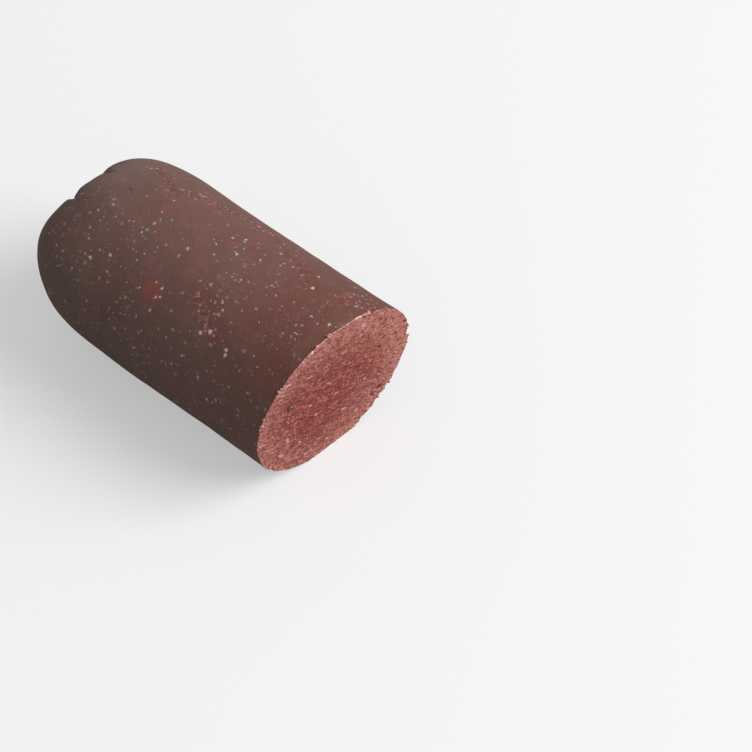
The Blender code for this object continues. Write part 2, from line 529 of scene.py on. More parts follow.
def make_fat_grains():
    group, given, result = new_group("fat_grains", "ShaderNodeTree", [
        ("Place", VECTOR, None), ("Cells Per Metre", FLOAT, 300.0), ("Size", FLOAT, 0.2),
        ("Presence", FLOAT, 0.6), ("Wobble", FLOAT, 0.3), ("Softness", FLOAT, 0.35)], [("Mask", FLOAT)])
    scale = given["Cells Per Metre"]
    push = stray(group, given["Place"], times(group, scale, 2.4), 3.0, 0.6)
    place = pushed(group, given["Place"], push, maths(group, "DIVIDE", given["Wobble"], scale))
    grain = cells(group, place, scale)
    chance = add_node(group, "ShaderNodeSeparateColor", Color=grain.outputs["Color"]).outputs
    size = times(group, given["Size"], remap(group, chance[0], 0.0, 1.0, 0.35, 1.0, "LINEAR"))
    inner = times(group, size, minus(group, 1.0, given["Softness"]))
    blob = remap(group, grain.outputs["Distance"], size, inner)
    present = maths(group, "LESS_THAN", chance[1], given["Presence"])
    strength = remap(group, maths(group, "POWER", chance[2], 1.3), 0.0, 1.0, 0.25, 1.0, "LINEAR")
    feed(group, result["Mask"], times(group, times(group, blob, present), strength))
    return group


fat_grains = make_fat_grains()


def grain_mask(tree, place, per_metre, size, presence, wobble, softness):
    """Where grains of one kind lie: 1 inside a grain and 0 beside it."""
    return use_group(tree, fat_grains, Place=place, Cells_Per_Metre=per_metre, Size=size,
                     Presence=presence, Wobble=wobble, Softness=softness)["Mask"]


print("group", fat_grains.name, "has", len(fat_grains.nodes), "nodes")

# %% [markdown]
# ## A drift of tone
# No patch of rind has quite the tone of the next. This group adds a fine noise to a broad one and
# stretches the sum to the contrast that is asked for.

# %% Mottle group


def make_mottle():
    group, given, result = new_group("mottle", "ShaderNodeTree", [
        ("Place", VECTOR, None), ("Broad Scale", FLOAT, 60.0), ("Fine Scale", FLOAT, 600.0),
        ("Fine Share", FLOAT, 0.3), ("Contrast", FLOAT, 0.2)], [("Value", FLOAT)])
    broad = noise(group, given["Place"], given["Broad Scale"], 2.0, 0.55)
    fine = noise(group, given["Place"], given["Fine Scale"], 3.0, 0.6)
    drift = plus(group, broad, times(group, minus(group, fine, broad), given["Fine Share"]))
    low, high = minus(group, 0.5, given["Contrast"]), plus(group, 0.5, given["Contrast"])
    feed(group, result["Value"], remap(group, drift, low, high))
    return group


mottle = make_mottle()
print("group", mottle.name, "has", len(mottle.nodes), "nodes")

# %% [markdown]
# ## A rubbed line
# The third group marks a line between two points by the distance to it. It gives three masks: the line
# itself, the pale bits in its core and a soft halo, in which the rind is only worn thin.

# %% Scratch group


def make_scratch():
    group, given, result = new_group("scratch", "ShaderNodeTree", [
        ("Place", VECTOR, None), ("Start", VECTOR, None), ("End", VECTOR, None),
        ("Width", FLOAT, 0.0006), ("Gaps", FLOAT, 0.5)],
        [("Mask", FLOAT), ("Core", FLOAT), ("Halo", FLOAT)])
    place, width, gaps = given["Place"], given["Width"], given["Gaps"]
    run = vectors(group, "SUBTRACT", given["End"], given["Start"])
    offset = vectors(group, "SUBTRACT", place, given["Start"])
    share = maths(group, "DIVIDE", vectors(group, "DOT_PRODUCT", offset, run),
                  vectors(group, "DOT_PRODUCT", run, run), clamp=True)
    away = vectors(group, "DISTANCE", offset, vectors(group, "SCALE", run, scale=share))
    reach = times(group, width, 2.5)
    feed(group, result["Halo"], remap(group, away, reach, times(group, width, 0.5)))
    wander = minus(group, noise(group, place, 420.0), 0.45)
    away = plus(group, away, times(group, wander, reach))
    line = remap(group, away, width, times(group, width, 0.2))
    broken = noise(group, place, 900.0, 3.0, 0.6)
    bits = noise(group, place, 780.0, 4.0, 0.7)
    kept = remap(group, bits, gaps, plus(group, gaps, 0.07))
    feed(group, result["Mask"], times(group, line, remap(group, broken, 0.32, 0.50)))
    feed(group, result["Core"], times(group, line, kept))
    return group


scratch = make_scratch()
print("group", scratch.name, "has", len(scratch.nodes), "nodes")

# %% [markdown]
# ## The rind
# Smoke and drying turned the outside of the meat into a matt skin that drifts from grey-brown to
# red-brown. Fat lies in it as small pale grains, some crisp and some dim under the surface. One round
# patch stayed redder, and a few rubbed lines show the red meat below. Everything is mixed from Object
# coordinates, so the marks stay where they are on the log when the view changes.

# %% Colours and marks of the rind
GREY_BROWN = (0.150, 0.074, 0.059, 1.0)
RED_BROWN = (0.172, 0.057, 0.043, 1.0)
DEEP_BROWN = (0.070, 0.034, 0.028, 1.0)
# painted shade: the rind is darker where it faces away from the lamp
AWAY_SHADE_BROWN = (0.094, 0.056, 0.047, 1.0)
PALE_FAT = (0.640, 0.500, 0.470, 1.0)
LILAC_FAT = (0.290, 0.180, 0.175, 1.0)
RAW_RED = (0.150, 0.030, 0.024, 1.0)
SALMON = (0.600, 0.310, 0.265, 1.0)
PATCH_RED = (0.235, 0.056, 0.041, 1.0)
# painted shade for the bottoms of the creases, also the colour of the real dark nicks
CREASE_SHADE_AND_NICK_RED = (0.045, 0.014, 0.012, 1.0)
WARM_BROWN = (0.135, 0.031, 0.017, 1.0)
# painted grey sheen: the pale air as seen on the near side
SHEEN_GREY = (0.155, 0.110, 0.086, 1.0)
PALE_TOP_GREY = (0.250, 0.160, 0.128, 1.0)
OLIVE_BROWN = (0.112, 0.084, 0.052, 1.0)
BLUSH = (0.230, 0.082, 0.076, 1.0)
DOT_RED = (0.330, 0.095, 0.075, 1.0)
RED_PATCH = ((-4.0, -19.7, 51.9), 4.0)       # place and radius in mm
# Rubbed lines on the rind: start, end and width in mm, and the share of pale bits that stays hidden.
RUBBED_LINES = (
    ((-32.3, 14.3, 54.6), (-20.0, 9.0, 57.3), 2.0, 0.57),
    ((-19.7, 11.8, 56.3), (-5.7, 17.8, 53.0), 2.7, 0.55),
    ((-5.7, 17.8, 53.0), (9.0, 19.4, 51.5), 2.0, 0.55),
    ((7.3, 20.2, 51.2), (17.0, 15.5, 54.8), 1.5, 0.60),
    ((17.0, 15.5, 54.8), (34.0, 8.6, 58.0), 2.6, 0.58),
    ((43.0, 10.7, 57.3), (51.0, 17.0, 53.8), 2.3, 0.58),
)
# Fainter lines, where the rind is only worn thin.
FAINT_LINES = (
    ((9.5, -14.3, 55.5), (15.3, -18.3, 52.8), 2.2, 0.52),
    ((15.3, -18.3, 52.8), (19.2, -19.5, 51.8), 2.6, 0.52),
    ((14.2, 1.6, 59.1), (16.4, -1.8, 59.1), 1.4, 0.58),
)
# Single pale grains of the rind: place on the surface and radius in mm.
LARGE_GRAINS = (
    ((16.5, -21.0, 50.4), 0.65), ((19.3, -19.7, 51.7), 0.80), ((26.5, -20.8, 50.5), 0.60),
    ((26.9, -21.8, 49.5), 0.65), ((-1.5, -17.6, 53.4), 0.55), ((-0.6, -19.6, 51.9), 0.55),
    ((17.4, -11.6, 56.6), 0.55), ((18.8, -13.4, 55.8), 0.60), ((34.9, 8.1, 58.2), 0.60),
    ((7.3, 9.7, 57.4), 0.42), ((7.6, 8.4, 57.9), 0.38), ((-4.1, -17.2, 53.7), 0.40),
    ((-1.8, -20.2, 51.4), 0.42), ((-1.6, -23.1, 48.4), 0.52), ((-8.0, -20.6, 51.0), 0.36),
    ((-21.7, -18.3, 53.2), 0.55), ((-27.0, -21.5, 51.0), 0.60), ((-31.4, -6.2, 57.7), 0.55),
)
# Short dark nicks near the gathered end, in the same form as the lines.
NICKS = (
    ((-32.0, 1.9, 57.7), (-29.9, 0.7, 57.9), 0.8, 0.5),
    ((-44.5, 6.2, 52.5), (-41.2, 6.0, 55.0), 0.7, 0.5),
)
# Places where the rind is thin and more fat shows, with their radius, in mm.
THIN_PLACES = (
    ((2.3, 6.1, 58.4), 4.5), ((12.7, -14.4, 55.4), 5.0), ((21.1, -18.2, 52.9), 5.0),
    ((-20.0, 2.0, 58.6), 3.5), ((14.0, 8.0, 58.0), 4.0), ((-14.0, -26.0, 42.0), 6.0),
)
print(len(LARGE_GRAINS), "single grains,", len(RUBBED_LINES) + len(FAINT_LINES), "lines on the rind")

# %% [markdown]
# ## Masks and layers
# A mask says where on the surface a colour lies, from 0 to 1. These helpers make masks from the lists
# above, join several into one, and lay colours over one another as their masks say.

# %% Masks and layers


def new_material(name):
    material = bpy.data.materials.new(name)
    material.use_nodes = True
    tree = material.node_tree
    shader = tree.nodes["Principled BSDF"]
    place = tree.nodes.new("ShaderNodeTexCoord").outputs["Object"]
    return material, tree, shader, place


def let_light_in(shader, weight, radius):
    """Lets a little light pass under the surface, red the farthest."""
    shader.inputs["Subsurface Weight"].default_value = weight
    shader.inputs["Subsurface Radius"].default_value = radius
    shader.inputs["Subsurface Scale"].default_value = 0.8 * MM


def add_bump(tree, shader, height, distance, strength=1.0):
    bump = add_node(tree, "ShaderNodeBump", Height=height, Distance=distance, Strength=strength)
    feed(tree, shader.inputs["Normal"], bump.outputs["Normal"])


def attribute(tree, name):
    return add_node(tree, "ShaderNodeAttribute", [("attribute_name", name)]).outputs["Fac"]


def strongest(tree, masks):
    """The highest of several masks."""
    highest = 0.0
    for mask in masks:
        highest = maths(tree, "MAXIMUM", mask, highest)
    return highest


def layered(tree, colour, layers):
    """Lays colours over one another. Each layer is a mask, a share from 0 to 1 and the colour."""
    for mask, share, layer_colour in layers:
        colour = mixed(tree, times(tree, mask, share), colour, layer_colour)
    return colour


def line_masks(tree, place, lines):
    """Where the lines run, as (the line itself, its pale bits, the halo round it)."""
    marks = [use_group(tree, scratch, Place=place, Start=Vector(start) * MM, End=Vector(end) * MM,
                       Width=width * MM, Gaps=gaps) for start, end, width, gaps in lines]
    return [strongest(tree, [mark[output] for mark in marks]) for output in ("Mask", "Core", "Halo")]


def patch_mask(tree, place, centre, radius):
    """A round patch with an uneven soft edge. Its centre and radius are in mm."""
    away = vectors(tree, "DISTANCE", place, Vector(centre) * MM)
    away = plus(tree, away, times(tree, noise(tree, place, 400.0, 3.0, 0.6), 0.5 * radius * MM))
    return remap(tree, away, 1.45 * radius * MM, 0.85 * radius * MM)


def large_grain_mask(tree, place):
    """The grains given one by one, with uneven edges."""
    place = pushed(tree, place, stray(tree, place, 900.0), 1.3 * MM)
    distances = [(vectors(tree, "DISTANCE", place, Vector(centre) * MM), radius * MM)
                 for centre, radius in LARGE_GRAINS]
    return strongest(tree, [remap(tree, away, 1.25 * size, 0.5 * size) for away, size in distances])


print("helpers for masks and layers are ready")

# %% [markdown]
# ## The finish of the rind
# Broad drifts of tone come first, with painted shade and a painted grey sheen among them, then the marks,
# and the grains of fat last, over all the rest.

# %% Rind finish


def make_rind():
    material, tree, shader, place = new_material("rind")
    along, across, up = add_node(tree, "ShaderNodeSeparateXYZ", Vector=place).outputs
    # Broad drifts: redder towards the cut; painted shade, darker towards the far end and the near side; a
    # painted grey sheen on the near side.
    tone = use_group(tree, mottle, Place=place, Broad_Scale=75.0, Fine_Scale=420.0, Fine_Share=0.4,
                     Contrast=0.24)["Value"]
    tone = plus(tree, plus(tree, times(tree, tone, 0.6), times(tree, along, 6.0)), 0.15, clamp=True)
    # painted shade: darker towards the far end and the near side, which face away from the lamp
    away_shade = plus(tree, times(tree, along, -0.9), times(tree, across, -0.6))
    away_shade = plus(tree, away_shade, times(tree, noise(tree, place, 60.0), 0.02))
    warm = remap(tree, along, 10.0 * MM, 44.0 * MM)
    # painted grey sheen of the pale air on the near side, which faces away from the lamp
    near_side_sheen = remap(tree, across, -17.0 * MM, -29.0 * MM)
    # Paler and greyer on the top towards the far end.
    pale_top = times(tree, remap(tree, along, -24.0 * MM, -46.0 * MM), remap(tree, up, 44.0 * MM, 56.0 * MM))
    pale_top = times(tree, pale_top, remap(tree, across, -9.0 * MM, 7.0 * MM))
    tint = noise(tree, place, 210.0, 4.0, 0.65, "Color")
    tint = add_node(tree, "ShaderNodeSeparateColor", Color=tint).outputs
    olive, blush = [remap(tree, channel, 0.50, 0.68) for channel in (tint[0], tint[1])]
    dark = use_group(tree, mottle, Place=place, Broad_Scale=260.0, Fine_Scale=1500.0, Fine_Share=0.6,
                     Contrast=0.2)["Value"]
    # Marks: thin places, the red patch, worn and rubbed lines, nicks, and painted shade in the bottoms of
    # the creases.
    thin = strongest(tree, [patch_mask(tree, place, *spot) for spot in THIN_PLACES])
    worn, worn_bits, worn_halo = line_masks(tree, place, FAINT_LINES)
    rubbed, rubbed_bits, rubbed_halo = line_masks(tree, place, RUBBED_LINES)
    halo = strongest(tree, (worn_halo, rubbed_halo))
    nick = line_masks(tree, place, NICKS)[0]
    # painted shade in the creases of the gathered end, joined with the real dark nicks
    crease_shade_and_nicks = strongest(tree, (remap(tree, attribute(tree, "crease"), 0.30, 0.95), nick))
    # Grains: more of them on the low side, towards the cut and where the rind is thin.
    drift = minus(tree, noise(tree, place, 50.0, 1.0), times(tree, across, 5.0))
    drift = plus(tree, drift, times(tree, along, 2.0))
    bare = times(tree, strongest(tree, (thin, halo)), 0.5)
    crowd = plus(tree, remap(tree, drift, 0.37, 0.69, 0.10, 0.80), bare)
    dim = grain_mask(tree, place, 260.0, size=0.30, presence=0.6, wobble=0.7, softness=0.95)
    dots = grain_mask(tree, place, 640.0, size=0.40, presence=plus(tree, times(tree, halo, 0.6), 0.30),
                      wobble=0.8, softness=0.9)
    small = grain_mask(tree, place, 620.0, size=0.38, presence=crowd, wobble=0.7, softness=0.85)
    large = grain_mask(tree, place, 370.0, size=0.31, presence=crowd, wobble=0.7, softness=0.75)
    large = strongest(tree, (large, large_grain_mask(tree, place)))
    clear = remap(tree, along, -40.0 * MM, 15.0 * MM, 0.62, 0.90)
    colour = layered(tree, mixed(tree, tone, GREY_BROWN, RED_BROWN), (
        (remap(tree, away_shade, 0.012, 0.052), 0.34, AWAY_SHADE_BROWN),
        (warm, 0.56, WARM_BROWN),
        (near_side_sheen, 0.42, SHEEN_GREY),
        (pale_top, 0.62, PALE_TOP_GREY),
        (olive, 0.45, OLIVE_BROWN),
        (blush, 0.40, BLUSH),
        (dark, 0.22, DEEP_BROWN),
        (thin, 0.25, RAW_RED),
        (patch_mask(tree, place, *RED_PATCH), 0.78, PATCH_RED),
        (dim, 0.60, LILAC_FAT),
        (worn, 0.40, RAW_RED),
        (worn_bits, 0.50, SALMON),
        (dots, 0.75, DOT_RED),
        (rubbed, 0.80, RAW_RED),
        (rubbed_bits, 0.90, SALMON),
        (crease_shade_and_nicks, 0.75, CREASE_SHADE_AND_NICK_RED),
        (small, 0.72, PALE_FAT),
        (large, clear, PALE_FAT),
    ))
    feed(tree, shader.inputs["Base Color"], colour)
    fine = noise(tree, place, 2600.0, 3.0, 0.6)
    feed(tree, shader.inputs["Roughness"], remap(tree, fine, 0.3, 0.7, 0.58, 0.72))
    height = plus(tree, plus(tree, fine, times(tree, dark, -0.8)), times(tree, large, 0.8))
    height = minus(tree, height, times(tree, rubbed, 1.2))
    add_bump(tree, shader, height, 0.09 * MM)
    shader.inputs["Specular IOR Level"].default_value = 0.5
    shader.inputs["Sheen Weight"].default_value = 0.04
    shader.inputs["Sheen Roughness"].default_value = 0.5
    return material


rind = make_rind()
print("rind has", len(rind.node_tree.nodes), "nodes")

# %% [markdown]
# ## The cut meat
# A knife leaves finely ground meat rough: salmon-coloured grains stand up between gaps, and the
# blade drags soft fat into short pale streaks. The gaps, holes and seams between grains are painted dark
# red, as painted shade. The pattern is turned so that its long side follows the drag of the knife, and
# stretched along it. A little light passes under the surface, as it does in meat.

# %% Granules
DEEP_RED_AND_SEAM_SHADE = (0.158, 0.026, 0.019, 1.0)
# middle and rim colours of the cut: partly painted shade in the middle and painted light on the +Y side
BRICK_AND_SHADE_RED = (0.280, 0.049, 0.038, 1.0)
DRY_AND_LIT_PINK = (0.556, 0.206, 0.168, 1.0)
GRAIN_SALMON = (0.620, 0.260, 0.210, 1.0)
BRIGHT_GRAIN = (0.780, 0.400, 0.330, 1.0)
STREAK_FAT = (0.580, 0.385, 0.370, 1.0)
# painted shade in the holes and gaps of the cut
GAP_SHADE = (0.060, 0.011, 0.009, 1.0)


def stretched(tree, place, share):
    """A place turned to the knife's drag and squeezed along it, so that patterns come out long."""
    turned = add_node(tree, "ShaderNodeVectorRotate", [("rotation_type", "X_AXIS")], Vector=place,
                      Angle=CUT_TURN).outputs["Vector"]
    return vectors(tree, "MULTIPLY", turned, (1.0, share, 1.0))


def make_granules():
    """Chopped meat: packed grains, each with its own lightness, parted by softer seams, where the cut's
    finish paints shade.
    """
    group, given, result = new_group("granules", "ShaderNodeTree", [
        ("Place", VECTOR, None), ("Cells Per Metre", FLOAT, 1000.0), ("Wobble", FLOAT, 0.6)],
        [("Value", FLOAT), ("Seam", FLOAT)])
    scale = given["Cells Per Metre"]
    push = stray(group, given["Place"], times(group, scale, 1.6))
    place = pushed(group, given["Place"], push, maths(group, "DIVIDE", given["Wobble"], scale))
    grain = cells(group, place, scale)
    chance = add_node(group, "ShaderNodeSeparateColor", Color=grain.outputs["Color"]).outputs[0]
    body = remap(group, grain.outputs["Distance"], 0.80, 0.30)
    away = times(group, minus(group, chance, 0.5), body)
    feed(group, result["Value"], plus(group, away, 0.5))
    feed(group, result["Seam"], remap(group, grain.outputs["Distance"], 0.40, 0.85))
    return group


granules = make_granules()
print("group", granules.name, "has", len(granules.nodes), "nodes")

# %% [markdown]
# ## The finish of the cut
# Two sizes of granules, the streaks and some broader lumps add up to one value from dark to light. It is
# coloured brick red in the middle and paler towards the dry rim, with painted shade in the middle and
# painted light on the +Y side, then the painted shade of the seams, fat, bright grains and the painted
# shade of gaps and holes go on.

# %% Cut finish


def outer_share(tree, place):
    """0 in the middle of the cut, 1 near its rim, more so on the +Y side, which faces the lamp. The darker
    middle is partly painted shade, and the extra pale on the +Y side is painted light.
    """
    spoke = vectors(tree, "SUBTRACT", place, (0.0, -0.10 * RADIUS, AXIS_HEIGHT))
    spoke = vectors(tree, "MULTIPLY", spoke, (0.0, 1.0, 1.0))
    away = maths(tree, "DIVIDE", vectors(tree, "LENGTH", spoke), RADIUS)
    away = plus(tree, away, times(tree, noise(tree, place, 90.0, 2.0), 0.5))
    return remap(tree, away, 0.65, 1.35)


def make_cut_meat():
    material, tree, shader, place = new_material("cut_meat")
    across = add_node(tree, "ShaderNodeSeparateXYZ", Vector=place).outputs["Y"]
    outer = outer_share(tree, place)
    drag = stretched(tree, place, 0.75)
    coarse = use_group(tree, granules, Place=drag, Cells_Per_Metre=1250.0, Wobble=0.8)
    small = use_group(tree, granules, Place=drag, Cells_Per_Metre=2300.0, Wobble=0.7)
    streaks = noise(tree, stretched(tree, place, 0.25), 850.0, 3.0, 0.6)
    streaks = remap(tree, streaks, 0.30, 0.70, kind="LINEAR")
    lumps = remap(tree, noise(tree, drag, 640.0, 4.0, 0.65), 0.30, 0.70, kind="LINEAR")
    value = 0.0
    for part, share in ((coarse["Value"], 0.22), (small["Value"], 0.34), (streaks, 0.15), (lumps, 0.29)):
        value = plus(tree, value, times(tree, part, share))
    # The grain stands out more near the rim, and more on the near side than on the far one.
    contrast = minus(tree, plus(tree, times(tree, outer, 0.62), 0.95), times(tree, across, 5.0))
    value = plus(tree, times(tree, minus(tree, value, 0.5), contrast), 0.5)
    crowd = minus(tree, 0.36, times(tree, across, 7.0))
    fleck = grain_mask(tree, stretched(tree, place, 0.45), 480.0, size=0.28, presence=0.42, wobble=0.8,
                       softness=0.6)
    bright = grain_mask(tree, drag, 980.0, size=0.42, presence=crowd, wobble=0.8, softness=0.8)
    gap_shade = grain_mask(tree, drag, 520.0, size=0.24, presence=0.35, wobble=0.8, softness=0.6)
    # painted shade: the holes, by their depth, and the small gaps are painted nearly black red
    hollow = plus(tree, attribute(tree, "hollow"), times(tree, minus(tree, streaks, 0.5), 0.5 * MM))
    # painted shade in the middle of the cut and painted light on its +Y side, mixed with the paler dry rim
    colour = layered(tree, mixed(tree, outer, BRICK_AND_SHADE_RED, DRY_AND_LIT_PINK), (
        (remap(tree, value, 0.47, 0.35), 0.72, DEEP_RED_AND_SEAM_SHADE),
        (remap(tree, value, 0.53, 0.67), 0.72, GRAIN_SALMON),
        # painted shade in the seams between grains
        (coarse["Seam"], 0.12, DEEP_RED_AND_SEAM_SHADE),
        (fleck, 0.80, STREAK_FAT),
        (bright, 0.88, BRIGHT_GRAIN),
        (gap_shade, 0.80, GAP_SHADE),
        (remap(tree, hollow, 0.18 * MM, 0.70 * MM), 1.0, GAP_SHADE),
    ))
    feed(tree, shader.inputs["Base Color"], colour)
    feed(tree, shader.inputs["Roughness"], remap(tree, value, 0.35, 0.65, 0.58, 0.40))
    height = minus(tree, value, times(tree, coarse["Seam"], 0.25))
    height = plus(tree, minus(tree, height, times(tree, gap_shade, 0.3)), times(tree, bright, 0.25))
    add_bump(tree, shader, height, 0.32 * MM, 0.9)
    shader.inputs["Specular IOR Level"].default_value = 0.42
    let_light_in(shader, 0.06, (1.0, 0.35, 0.25))
    return material


cut_meat = make_cut_meat()
print("cut meat has", len(cut_meat.node_tree.nodes), "nodes")

# %% [markdown]
# ## Relief in the log's surface
# Relief that only a bump map draws would be missing from the finished mesh, so the larger relief is real:
# soft dents in the rind, and grains, drag marks and a torn rim on the cut. A Geometry Nodes tree moves each
# point along its normal by noise fields. Its inputs are heights, so each kind of relief can be tried alone.

# %% Relief tree


def geometry(tree, kind, **inputs):
    """Adds a geometry node and returns its first output."""
    return add_node(tree, "GeometryNode" + kind, **inputs).outputs[0]


def height_noise(tree, place, scale, height, detail=2.0, roughness=0.5):
    """A noise centred on 0, times a height."""
    return times(tree, minus(tree, noise(tree, place, scale, detail, roughness), 0.5), height)


def named(tree, name, kind="FLOAT"):
    node = add_node(tree, "GeometryNodeInputNamedAttribute", [("data_type", kind)], Name=name)
    return node.outputs["Attribute"]


def make_relief_tree():
    tree, given, result = new_group("relief", "GeometryNodeTree", [
        ("Geometry", SHAPE, None), ("Dent Height", FLOAT, 0.0), ("Rind Grain", FLOAT, 0.0),
        ("Cut Swell", FLOAT, 0.0), ("Cut Grain", FLOAT, 0.0), ("Drag Marks", FLOAT, 0.0),
        ("Torn Rim", FLOAT, 0.0), ("Rind", SUBSTANCE, None), ("Cut Meat", SUBSTANCE, None)],
        [("Geometry", SHAPE)])
    place = tree.nodes.new("GeometryNodeInputPosition").outputs[0]
    normal = tree.nodes.new("GeometryNodeInputNormal").outputs[0]
    drag = stretched(tree, place, 0.70)
    # Along the surface's normal: dents and grain on the rind, swells, lumps and drag marks on the cut.
    on_rind = plus(tree, height_noise(tree, place, 75.0, given["Dent Height"], 1.0),
                   height_noise(tree, place, 900.0, given["Rind Grain"]))
    swell = height_noise(tree, place, 130.0, given["Cut Swell"])
    lump = minus(tree, 0.4, cells(tree, drag, 1000.0).outputs["Distance"])
    marks = height_noise(tree, stretched(tree, place, 0.22), 800.0, given["Drag Marks"], 3.0, 0.6)
    on_cut = plus(tree, plus(tree, swell, times(tree, lump, given["Cut Grain"])), marks)
    share = named(tree, "on_cut")
    height = plus(tree, times(tree, on_cut, share), times(tree, on_rind, minus(tree, 1.0, share)))
    # Away from the log's axis: uneven teeth where the rim is torn.
    tooth = minus(tree, 0.40, cells(tree, place, 340.0).outputs["Distance"])
    tooth = plus(tree, tooth, height_noise(tree, place, 1300.0, 0.9))
    tooth = times(tree, tooth, remap(tree, noise(tree, place, 160.0, 1.0), 0.36, 0.6, 0.2, 1.4))
    torn = times(tree, named(tree, "rim"), named(tree, "ragged"))
    torn = times(tree, torn, times(tree, tooth, given["Torn Rim"]))
    spoke = vectors(tree, "SUBTRACT", place, (0.0, 0.0, AXIS_HEIGHT))
    spoke = vectors(tree, "NORMALIZE", vectors(tree, "MULTIPLY", spoke, (0.0, 1.0, 1.0)))
    moved = pushed(tree, pushed(tree, place, normal, height), spoke, torn)
    moved = vectors(tree, "MAXIMUM", moved, (-1.0, -1.0, 0.0))     # nothing goes below the floor
    shape = geometry(tree, "SetPosition", Geometry=given["Geometry"], Position=moved)
    shape = geometry(tree, "RealizeInstances", Geometry=shape)
    shape = geometry(tree, "SetMaterial", Geometry=shape, Material=given["Rind"])
    cut_only = named(tree, "cut_face", "BOOLEAN")
    shape = geometry(tree, "SetMaterial", Geometry=shape, Selection=cut_only,
                     Material=given["Cut Meat"])
    feed(tree, result["Geometry"], shape)
    return tree


def run_tree(source, tree, **inputs):
    """Runs a geometry tree on an object and gives the object the plain mesh that comes out."""
    modifier = source.modifiers.new(tree.name, "NODES")
    modifier.node_group = tree
    for item in tree.interface.items_tree:
        label = item.name.replace(" ", "_")
        if item.in_out == "INPUT" and label in inputs:
            modifier[item.identifier] = inputs[label]
    source.update_tag()
    bpy.context.view_layer.update()
    graph = bpy.context.evaluated_depsgraph_get()
    mesh = bpy.data.meshes.new_from_object(source.evaluated_get(graph))
    source.modifiers.remove(modifier)
    unshaped, source.data = source.data, mesh
    bpy.data.meshes.remove(unshaped)
    return source


RIM_ANGLE = math.radians(60.0)     # a sharper edge than this is shaded as an edge
log = run_tree(log, make_relief_tree(), Dent_Height=0.55 * MM, Rind_Grain=0.05 * MM, Cut_Swell=0.5 * MM,
               Cut_Grain=0.20 * MM, Drag_Marks=0.25 * MM, Torn_Rim=2.7 * MM, Rind=rind, Cut_Meat=cut_meat)
log.data.shade_smooth()
log.data.set_sharp_from_angle(angle=RIM_ANGLE)
print("log with relief, box mm:", [round(v / MM, 1) for v in log.dimensions])

# %% [markdown]
# ## Fat, smeared fat and peppercorn finishes
# Loose bits on the cut need their own finishes. Fat is pale, slightly lilac and lets light in. Where the
# knife smeared it over the rim it picked up colour from the meat. Peppercorn shell is dark and wrinkled.

# %% Small finishes


def make_plain(name, pale, deep, roughness, scale, depth, soft=0.0):
    """A finish that drifts between two colours, with a bump of the same pattern. Soft lets light in."""
    material, tree, shader, place = new_material(name)
    drift = noise(tree, place, scale, 3.0, 0.6)
    feed(tree, shader.inputs["Base Color"], mixed(tree, remap(tree, drift, 0.38, 0.62), deep, pale))
    feed(tree, shader.inputs["Roughness"], remap(tree, drift, 0.3, 0.7, roughness - 0.08, roughness + 0.08))
    add_bump(tree, shader, drift, depth)
    shader.inputs["Specular IOR Level"].default_value = 0.35
    let_light_in(shader, soft, (1.0, 0.6, 0.5))
    return material


fat = make_plain("fat", (0.67, 0.42, 0.40, 1.0), (0.48, 0.235, 0.22, 1.0), roughness=0.62,
                 scale=1300.0, depth=0.04 * MM, soft=0.15)
smear = make_plain("smeared_fat", (0.86, 0.56, 0.45, 1.0), (0.56, 0.25, 0.20, 1.0), roughness=0.55,
                   scale=1300.0, depth=0.12 * MM, soft=0.1)
crumb_meat = make_plain("crumb_meat", (0.68, 0.33, 0.265, 1.0), (0.40, 0.125, 0.098, 1.0),
                        roughness=0.55, scale=1500.0, depth=0.15 * MM, soft=0.05)
shell = make_plain("peppercorn", (0.180, 0.088, 0.050, 1.0), (0.070, 0.030, 0.019, 1.0),
                   roughness=0.7, scale=1800.0, depth=0.2 * MM)
print("small finishes:", fat.name, smear.name, crumb_meat.name, shell.name)

# %% [markdown]
# ## Finding places on the finished surface
# A bit of fat must sit in the rough surface, not above or below it. So each place is found by looking
# straight at the finished log from outside, along a ray, and taking the first point that the ray meets.

# %% Places on the surface
TILT_Y = math.atan(CUT_SLANT_Z)      # a bit turned by these two lies flat in the leaning cut
TILT_Z = -math.atan(CUT_SLANT_Y)
FAR_OFF = 0.2                        # well outside the log, in metres


def on_cut_at(across, up):
    """The surface point of the cut at a place given from its middle, in metres."""
    start = Vector((FAR_OFF, across, AXIS_HEIGHT + up))
    return log.ray_cast(start, Vector((-1.0, 0.0, 0.0)))[1]


def rim_points():
    """The points of the finished rim, from straight up round towards -Y."""
    start = 1 + 3 * END_RINGS * (END_RINGS - 1)
    return [log.data.vertices[start + step].co.copy() for step in range(AROUND)]


def point_cloud(name, places, sizes, turns):
    """A mesh of loose points that carries a size and a turn for each, for a tree to fill."""
    mesh = bpy.data.meshes.new(name)
    mesh.from_pydata([tuple(place) for place in places], [], [])
    for label, rows in (("size", sizes), ("turn", turns)):
        flat = np.array(rows, dtype=np.float32).reshape(-1)
        mesh.attributes.new(label, "FLOAT_VECTOR", "POINT").data.foreach_set("vector", flat)
    return add_object(name, mesh)


rim = rim_points()
print("rim runs through", len(rim), "points")

# %% [markdown]
# ## A tree that grows small lumps on points
# Flecks, crumbs and the bits of a peppercorn are all small irregular lumps. One tree serves them all: it
# puts a ball on every point, sized and turned by the point's own values, then pushes the surface about with
# a noise.

# %% Lump tree
EVEN_PUSH = Vector((1.0, 1.0, 1.0)) * MM
FLAT_PUSH = Vector((0.15, 1.0, 1.0)) * MM     # keeps a bit that lies in the cut from standing up


